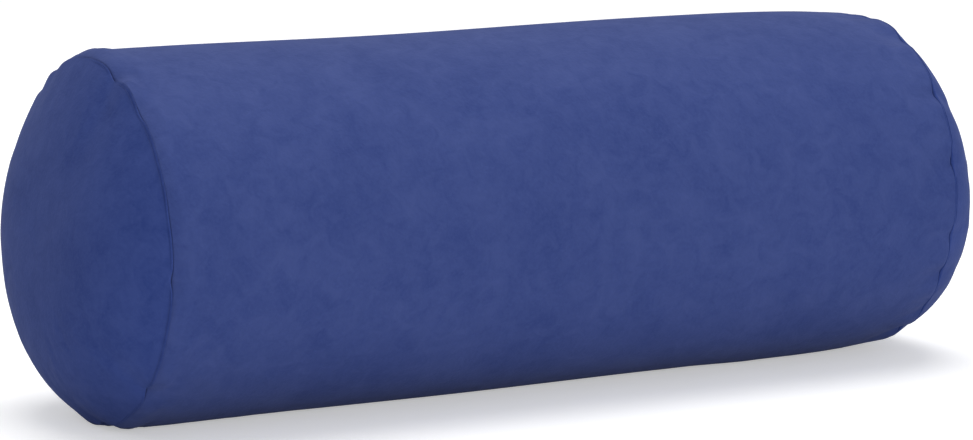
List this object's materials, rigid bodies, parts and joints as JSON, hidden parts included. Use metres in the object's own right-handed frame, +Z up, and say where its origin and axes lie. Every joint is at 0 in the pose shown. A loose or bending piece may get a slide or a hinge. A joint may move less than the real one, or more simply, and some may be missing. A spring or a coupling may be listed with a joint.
{
  "type": "bolster pillow",
  "caption": "Cylindrical bolster pillow with a plush cover, domed sewn-in ends, a zip along the back and a fibre-filled inner pad.",
  "frame": {"origin": "centre of the flattened resting strip under the pillow", "axes": "+X along the pillow towards the zip's closed end, +Y towards the side with the zip (the back), +Z up"},
  "size_m": [0.486, 0.1784, 0.176],
  "materials": {
    "plush": "deep blue short-pile plush, matt with a soft sheen",
    "cover_thread": "dark blue polyester sewing thread",
    "zip_tape": "navy woven polyester tape",
    "zip_coil": "navy nylon coil",
    "painted_metal": "navy enamel on die-cast zinc",
    "label": "blank white satin tape",
    "cotton": "plain unbleached cotton",
    "cotton_thread": "off-white sewing thread",
    "fibre": "white hollow polyester fibre"
  },
  "bodies": {
    "pillow": {"cover_body": "plush", "cover_end_left": "plush", "cover_end_right": "plush", "cover_seam_thread_left": "cover_thread", "cover_seam_thread_right": "cover_thread", "back_seam_thread_left": "cover_thread", "back_seam_thread_right": "cover_thread", "zip_stitch_upper": "cover_thread", "zip_stitch_lower": "cover_thread", "zip_tape_upper": "zip_tape", "zip_tape_lower": "zip_tape", "zip_coil_upper": "zip_coil", "zip_coil_lower": "zip_coil", "zip_top_stop_upper": "painted_metal", "zip_top_stop_lower": "painted_metal", "zip_bottom_stop": "painted_metal", "care_label": "label", "liner_body": "cotton", "liner_end_left": "cotton", "liner_end_right": "cotton", "liner_seam_thread_left": "cotton_thread", "liner_seam_thread_right": "cotton_thread", "liner_closing_stitch": "cotton_thread", "fibre_filling": "fibre"},
    "slider": {"zip_slider": "painted_metal"},
    "pull_tab": {"zip_pull_tab": "painted_metal"}
  },
  "joints": [
    {"name": "zip_slide", "type": "slide", "parent": "pillow", "child": "slider", "axis": [1, 0, 0], "range_m": [-0.284, 0]},
    {"name": "pull_tab_hinge", "type": "hinge", "parent": "slider", "child": "pull_tab", "pos_m": [0.142, 0.08495, 0.12219], "axis": [0, 0.3827, -0.9239], "range_deg": [0, 180]}
  ]
}
